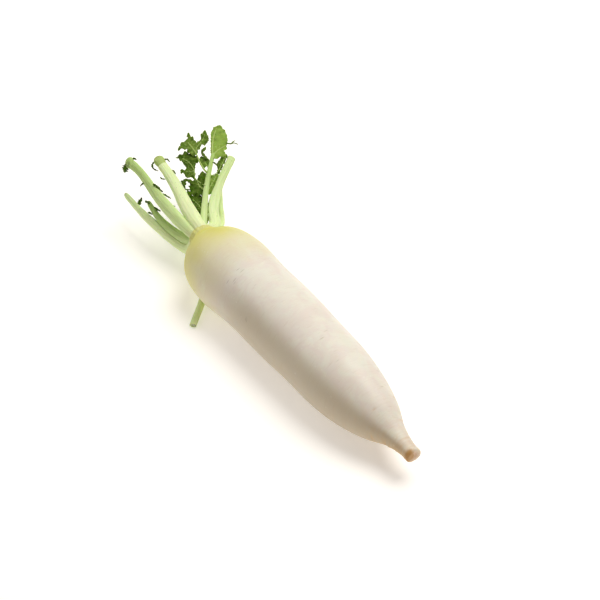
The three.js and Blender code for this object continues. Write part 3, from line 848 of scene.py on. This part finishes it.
def add_node(tree, kind, inputs=None, **settings):
    """A shader node with its settings, and each input set to a value or linked to a socket."""
    made = tree.nodes.new(kind)
    for key, value in settings.items():
        setattr(made, key, value)
    for key, value in (inputs or {}).items():
        if isinstance(value, bpy.types.NodeSocket):
            tree.links.new(value, made.inputs[key])
        else:
            made.inputs[key].default_value = value
    return made


def colour(value, factors=(1, 1, 1)):
    """A colour for a socket, with its red, green and blue scaled by some factors."""
    return (*(part * factor for part, factor in zip(value, factors)), 1.0)


def new_finish(name):
    """A material with an empty node tree but for its output."""
    material = bpy.data.materials.new(name)
    material.use_nodes = True
    tree = material.node_tree
    tree.nodes.clear()
    return material, tree, tree.nodes.new("ShaderNodeOutputMaterial")


def value_of(tree, label):
    """A value that the mesh carries."""
    return add_node(tree, "ShaderNodeAttribute", attribute_name=label).outputs["Fac"]


def spread(tree, value, low, high, start=0.0, end=1.0, smooth=True):
    """A value between low and high turned into one between start and end."""
    kind = "SMOOTHSTEP" if smooth else "LINEAR"
    return add_node(tree, "ShaderNodeMapRange", {
        "Value": value, "From Min": low, "From Max": high, "To Min": start, "To Max": end,
    }, interpolation_type=kind).outputs["Result"]


def blend(tree, share, first, second, mode="MIX"):
    """Two colours blended by a share."""
    made = add_node(tree, "ShaderNodeMix", data_type="RGBA", blend_type=mode)
    for index, value in ((0, share), (6, first), (7, second)):
        if isinstance(value, bpy.types.NodeSocket):
            tree.links.new(value, made.inputs[index])
        else:
            made.inputs[index].default_value = value
    return made.outputs[2]


def plus(tree, first, second):
    """Two values added up."""
    return add_node(tree, "ShaderNodeMath", {0: first, 1: second}, operation="ADD").outputs[0]


def times(tree, first, second):
    """Two values multiplied."""
    return add_node(tree, "ShaderNodeMath", {0: first, 1: second}, operation="MULTIPLY").outputs[0]


def held(tree, value):
    """A value held between 0 and 1."""
    return add_node(tree, "ShaderNodeClamp", {"Value": value}).outputs[0]


def grain(tree, place, scale, detail=2.0, roughness=0.5, distortion=0.0):
    """A cloudy value around a half, with so many patches to the metre."""
    return add_node(tree, "ShaderNodeTexNoise", {
        "Vector": place, "Scale": scale, "Detail": detail, "Roughness": roughness,
        "Distortion": distortion,
    }).outputs["Fac"]


def dots(tree, place, scale, far, close):
    """Scattered round dots, from 0 at one distance from their middles to 1 at another."""
    cells = add_node(tree, "ShaderNodeTexVoronoi", {"Vector": place, "Scale": scale})
    return spread(tree, cells.outputs["Distance"], far, close)


def stretched(tree, scale):
    """Places on the piece, in metres, drawn out along the axes."""
    place = add_node(tree, "ShaderNodeTexCoord").outputs["Object"]
    return add_node(tree, "ShaderNodeMapping", {"Vector": place, "Scale": scale}).outputs["Vector"]


def bumps(tree, height, distance, strength=1.0, normal=None):
    """Relief that is too fine for the mesh, on top of other relief."""
    inputs = {"Height": height, "Distance": distance, "Strength": strength}
    if normal is not None:
        inputs["Normal"] = normal
    return add_node(tree, "ShaderNodeBump", inputs).outputs["Normal"]


def finish_with(tree, output, inputs):
    """A plain surface shader with these inputs, linked to the output."""
    shader = add_node(tree, "ShaderNodeBsdfPrincipled", inputs)
    tree.links.new(shader.outputs[0], output.inputs["Surface"])


def skin_colour(tree, place, patches, settings):
    """Creamy skin with faint blotches, painted shade underneath and yellow-green towards the crown.
    """
    station = value_of(tree, "station")
    blotches = spread(tree, grain(tree, place, 48, 4, 0.6, 0.6), 0.36, 0.64)
    base = blend(tree, blotches, colour(settings.flesh, (0.99, 0.94, 0.93)),
                 colour(settings.flesh, (1.02, 1.03, 0.99)))
    # Painted shade: the underside is blended towards a darker, duller beige.
    underside_shade = spread(tree, value_of(tree, "underside_shade"), 0, 1, 0, 0.9)
    base = blend(tree, underside_shade, base, colour(settings.underside_shade))
    wander = plus(tree, station, spread(tree, patches, 0, 1, -0.018, 0.018))
    base = blend(tree, spread(tree, wander, 0.095, 0.022), base, SHOULDER)
    return blend(tree, spread(tree, wander, 0.054, 0.003, 0, 0.95), base, colour(settings.crown))


def skin_marks(tree, base, place, rings):
    """Tan with painted shade underneath, streaks round the root, pale specks, dark dents, and where
    those are.
    """
    uneven = spread(tree, grain(tree, rings, 60, 3), 0.3, 0.7, 0.55, 1.0)
    # The tip's own tan, with painted shade where it deepens underneath.
    tan_and_shade = times(tree, value_of(tree, "tan_and_shade"), uneven)
    base = blend(tree, times(tree, tan_and_shade, 0.85), base, DRY_SKIN_AND_SHADE)
    streaks = spread(tree, grain(tree, rings, 95, 3, 0.6), 0.56, 0.72, 0, 0.16)
    base = blend(tree, streaks, base, STREAK)
    sparse = spread(tree, grain(tree, place, 60), 0.5, 0.66)
    specks = times(tree, dots(tree, place, 230, 0.2, 0.1), sparse)
    base = blend(tree, times(tree, specks, 0.35), base, PALE_SPECK)
    rare = spread(tree, grain(tree, place, 40, 1), 0.58, 0.7)
    dents = times(tree, dots(tree, rings, 48, 0.16, 0.06), rare)
    return blend(tree, times(tree, dents, 0.5), base, DENT), dents


def collar_and_cut(tree, base, settings):
    """The fibrous collar of leaf scars at one end, and the stained knife cut at the other."""
    fibres = grain(tree, stretched(tree, (1, 3, 3)), 260, 4, 0.7)
    collar = spread(tree, value_of(tree, "station"), 0.0035, -0.001)
    scarred = blend(tree, spread(tree, fibres, 0.35, 0.65), *COLLAR)
    base = blend(tree, times(tree, collar, 0.8), base, scarred)
    ragged = spread(tree, fibres, 0, 1, -0.002, 0.002)
    rays = spread(tree, plus(tree, value_of(tree, "radius"), ragged), 0.0015, 0.0055)
    base = blend(tree, value_of(tree, "cut"), base, blend(tree, rays, *CUT_FLESH))
    soaked = spread(tree, fibres, 0, 1, -0.3, 0.3)
    stain = spread(tree, plus(tree, value_of(tree, "stain"), soaked), 0.1, 1.0, 0, 0.9)
    return blend(tree, stain, base, colour(settings.tan))


def skin_finish(settings):
    """The whole skin of the root, from its collar to its cut."""
    material, tree, output = new_finish("daikon_skin")
    place = stretched(tree, (1, 1, 1))
    rings = stretched(tree, (9, 1, 1))
    patches = grain(tree, place, 22, 3)
    base = skin_colour(tree, place, patches, settings)
    base, dents = skin_marks(tree, base, place, rings)
    base = collar_and_cut(tree, base, settings)
    normal = bumps(tree, grain(tree, place, 900, 3, 0.6), 0.00008, 0.5)
    normal = bumps(tree, grain(tree, rings, 120, 3, 0.6), 0.00022, 0.6, normal)
    normal = bumps(tree, times(tree, dents, -1.0), 0.0003, 0.8, normal)
    finish_with(tree, output, {
        "Base Color": base, "Roughness": spread(tree, patches, 0.3, 0.7, 0.40, 0.52),
        "Normal": normal, "Subsurface Weight": 0.3, "Subsurface Radius": (1.0, 0.7, 0.45),
        "Subsurface Scale": 0.004, "IOR": 1.42,
    })
    return material


def stalk_lines(tree):
    """Streaks that run along a leafstalk, from where each place lies on it."""
    along_stalk = add_node(tree, "ShaderNodeCombineXYZ", {
        "X": times(tree, value_of(tree, "distance"), 14.0),
        "Y": times(tree, value_of(tree, "cosine"), 2.4),
        "Z": times(tree, value_of(tree, "turn"), 2.4),
    }).outputs["Vector"]
    return grain(tree, along_stalk, 4.5, 3, 0.55)


def stalk_end(tree, base, end, share, place, lines):
    """The free end's own colours: a green stub, a dried tip, a dark ring round a knob."""
    if end == "stub":
        stub = spread(tree, share, STUB_STEP[0] - 0.004, STUB_STEP[1])
        base = blend(tree, stub, base, STUB)
    if end in ("knob", "stub", "healed"):
        uneven = plus(tree, share, spread(tree, lines, 0.2, 0.8, -0.03, 0.03))
        base = blend(tree, spread(tree, uneven, 0.955, 0.995, 0, 0.55), base, DRIED_END)
    if end == "knob":
        spots = spread(tree, grain(tree, place, 240, 3), 0.46, 0.60)
        ring = times(tree, spots, spread(tree, share, 0.90, 0.94, 0, 0.6))
        base = blend(tree, ring, base, KNOB_RING)
    return base


def stalk_finish(name, greenness, end, settings):
    """Waxy leafstalk: pale at the crown, greener outwards, with streaks along the ribs."""
    material, tree, output = new_finish(name)
    place = stretched(tree, (1, 1, 1))
    share = value_of(tree, "share")
    lines = stalk_lines(tree)
    outwards = spread(tree, share, 0.0, 1.0, greenness * 0.55, min(1.0, greenness + 0.12))
    mixed = plus(tree, outwards, spread(tree, lines, 0.3, 0.7, -0.16, 0.16))
    base = blend(tree, held(tree, mixed), colour(settings.pale), colour(settings.green))
    base = blend(tree, spread(tree, share, 0.12, 0.0, 0, 0.5), base, STALK_FOOT)
    base = stalk_end(tree, base, end, share, place, lines)
    pith = blend(tree, spread(tree, grain(tree, place, 700, 3), 0.35, 0.65), *PITH)
    base = blend(tree, value_of(tree, "inner"), base, pith)
    specks = spread(tree, grain(tree, place, 420, 2), 0.66, 0.74, 0, 0.25)
    base = blend(tree, specks, base, STALK_SPECK)
    normal = bumps(tree, lines, 0.00035, 0.7)
    normal = bumps(tree, grain(tree, place, 900, 2), 0.00008, 0.6, normal)
    finish_with(tree, output, {
        "Base Color": base, "Roughness": spread(tree, lines, 0.3, 0.7, 0.36, 0.5),
        "Normal": normal, "Subsurface Weight": 0.3, "Subsurface Radius": (0.7, 1.0, 0.3),
        "Subsurface Scale": 0.003, "IOR": 1.4,
    })
    return material


def blade_finish(name, lightness, settings):
    """Soft leaf: mottled green, pale veins, a greyer underside, and light that soaks in."""
    material, tree, output = new_finish(name)
    place = stretched(tree, (1, 1, 1))
    mottle = grain(tree, place, 210, 4, 0.6)
    mixed = spread(tree, mottle, 0.3, 0.7, lightness - 0.18, lightness + 0.22)
    base = blend(tree, held(tree, mixed), colour(settings.dark), colour(settings.light))
    base = blend(tree, times(tree, value_of(tree, "below"), 0.3), base, BLADE_BELOW)
    vein = spread(tree, value_of(tree, "vein"), 0.25, 0.85, 0, 0.85)
    base = blend(tree, vein, base, colour(settings.vein))
    rim = spread(tree, value_of(tree, "edge"), 0.93, 1.0, 0, 0.35)
    base = blend(tree, rim, base, BLADE_RIM)
    finish_with(tree, output, {
        "Base Color": base, "Roughness": spread(tree, mottle, 0.3, 0.7, 0.5, 0.68),
        "Normal": bumps(tree, grain(tree, place, 520, 3, 0.6), 0.00025, 0.8),
        "IOR": 1.4, "Specular IOR Level": 0.12, "Subsurface Weight": 0.3,
        "Subsurface Radius": (0.6, 1.0, 0.2), "Subsurface Scale": 0.0015,
    })
    return material


def floor_finish(settings):
    """Plain pale matte surface."""
    material, tree, output = new_finish("pale_surface")
    finish_with(tree, output, {
        "Base Color": colour(settings.floor), "Roughness": 0.9, "Specular IOR Level": 0.1,
        "Emission Color": (1, 0.97, 0.94, 1), "Emission Strength": 0.34,
    })
    return material


# ---------------------------------------------------------------- camera and light

def set_camera(scene, settings):
    """The camera, looking down at the radish past its tip."""
    turn, rise = settings.azimuth, settings.elevation
    away = Vector((math.sin(turn) * math.cos(rise), -math.cos(turn) * math.cos(rise),
                   math.sin(rise)))
    camera = bpy.data.objects.new("camera", bpy.data.cameras.new("camera"))
    camera.location = Vector(settings.aim) + away * settings.distance
    camera.rotation_euler = (-away).to_track_quat("-Z", "Y").to_euler()
    camera.data.lens = settings.lens
    camera.data.sensor_width = 36
    camera.data.clip_end = 100
    scene.collection.objects.link(camera)
    scene.camera = camera


def hang_lamp(scene, name, place, width, watts, tint):
    """A round soft lamp that shines at the origin."""
    lamp = bpy.data.lights.new(name, "AREA")
    lamp.shape = "DISK"
    lamp.size = width
    lamp.energy = watts
    lamp.color = tint
    holder = bpy.data.objects.new(name, lamp)
    holder.location = place
    holder.rotation_euler = (-holder.location).to_track_quat("-Z", "Y").to_euler()
    scene.collection.objects.link(holder)


def light_room(scene):
    """A dim warm light from all round."""
    world = bpy.data.worlds.new("studio")
    world.use_nodes = True
    sky = world.node_tree.nodes["Background"]
    sky.inputs["Color"].default_value = SKY
    sky.inputs["Strength"].default_value = SKY_STRENGTH
    scene.world = world


# ---------------------------------------------------------------- operators

class DAIKON_OT_root(bpy.types.Operator):
    """Grow the root, with its crown, collar, scars and cut tip"""
    bl_idname = "daikon.root"
    bl_label = "Root"

    def execute(self, context):
        settings = context.scene.daikon_root
        points, faces, values = root_mesh(settings)
        add_piece("radish_root", points, faces, values, skin_finish(settings),
                  ("root",))
        return {"FINISHED"}


class DAIKON_OT_leafstalks(bpy.types.Operator):
    """Grow the leafstalks out of the crown"""
    bl_idname = "daikon.leafstalks"
    bl_label = "Leafstalks"

    def execute(self, context):
        settings = context.scene.daikon_stalks
        for number, spec in enumerate(STALKS, 1):
            points, faces, values = stalk_mesh(spec, settings, number)
            finish = stalk_finish(f"stalk_skin_{number}", spec["green"], spec["end"], settings)
            add_piece(f"stalk_{number}", points, faces, values, finish,
                      (f"leafstalk_{number}",))
        return {"FINISHED"}


class DAIKON_OT_leaf(bpy.types.Operator):
    """Grow the one leaf that is left: its end lobe and its side leaflets"""
    bl_idname = "daikon.leaf"
    bl_label = "Leaf"

    def execute(self, context):
        settings = context.scene.daikon_blades
        for number, node in enumerate((*BLADES, *CURLS), 1):
            light = BLADES[node]["light"] if node in BLADES else CURL_LIGHT
            points, faces, values = leaflet_mesh(node, settings, number)
            finish = blade_finish(f"{node}_skin", light, settings)
            add_piece(f"{node}_blade", points, faces, values, finish,
                      (node,))
        return {"FINISHED"}


class DAIKON_OT_scraps(bpy.types.Operator):
    """Hang the scraps of torn blade on the cut leafstalks"""
    bl_idname = "daikon.scraps"
    bl_label = "Torn scraps"

    def execute(self, context):
        settings = context.scene.daikon_blades
        finish = blade_finish("torn_blade_skin", SCRAP_LIGHT, settings)
        for number, (route, half) in enumerate(SCRAPS, 1):
            points, faces, values = strip_mesh(
                np.array(route) * MM, half * MM, settings.thickness, SCRAP_SEED + number,
                SCRAP_FACE)
            add_piece(f"scrap_{number}", points, faces, values, finish,
                      (f"torn_leaflet_{number}",))
        return {"FINISHED"}


class DAIKON_OT_stage(bpy.types.Operator):
    """Lay the pale surface, hang the lamps and set the camera"""
    bl_idname = "daikon.stage"
    bl_label = "Surface, lamps and camera"

    def execute(self, context):
        settings = context.scene.daikon_stage
        bpy.ops.mesh.primitive_plane_add(size=30, location=(0, 0, 0))
        floor = context.active_object
        floor.name = "surface"
        floor.data.materials.append(floor_finish(settings))
        set_camera(context.scene, settings)
        for name, (place, width, watts, tint) in LAMPS.items():
            hang_lamp(context.scene, name, place, width, watts, tint)
        light_room(context.scene)
        context.scene.view_settings.view_transform = "Standard"
        return {"FINISHED"}


class DAIKON_PT_pieces(bpy.types.Panel):
    """A button for each group of pieces, and their settings"""
    bl_idname = "DAIKON_PT_pieces"
    bl_label = "Daikon radish"
    bl_space_type = "VIEW_3D"
    bl_region_type = "UI"
    bl_category = "Daikon"

    def draw(self, context):
        for operator in OPERATORS:
            self.layout.operator(operator.bl_idname)
        for holder in SETTINGS:
            settings = getattr(context.scene, holder)
            box = self.layout.box()
            for key in settings.bl_rna.properties.keys():
                if key not in ("rna_type", "name"):
                    box.prop(settings, key)


SETTINGS = {
    "daikon_root": RootSettings,
    "daikon_stalks": StalkSettings,
    "daikon_blades": BladeSettings,
    "daikon_stage": StageSettings,
}
OPERATORS = (
    DAIKON_OT_root, DAIKON_OT_leafstalks, DAIKON_OT_leaf, DAIKON_OT_scraps, DAIKON_OT_stage,
)


def register():
    """Add the settings, the operators and the panel to Blender."""
    for kind in (*SETTINGS.values(), *OPERATORS, DAIKON_PT_pieces):
        bpy.utils.register_class(kind)
    for holder, kind in SETTINGS.items():
        setattr(bpy.types.Scene, holder, PointerProperty(type=kind))


def unregister():
    """Take them away again."""
    for holder in SETTINGS:
        delattr(bpy.types.Scene, holder)
    for kind in (DAIKON_PT_pieces, *OPERATORS, *SETTINGS.values()):
        bpy.utils.unregister_class(kind)


def main():
    """Build the whole picture."""
    register()
    bpy.ops.daikon.stage()
    bpy.ops.daikon.root()
    bpy.ops.daikon.leafstalks()
    bpy.ops.daikon.leaf()
    bpy.ops.daikon.scraps()


if __name__ == "__main__":
    main()
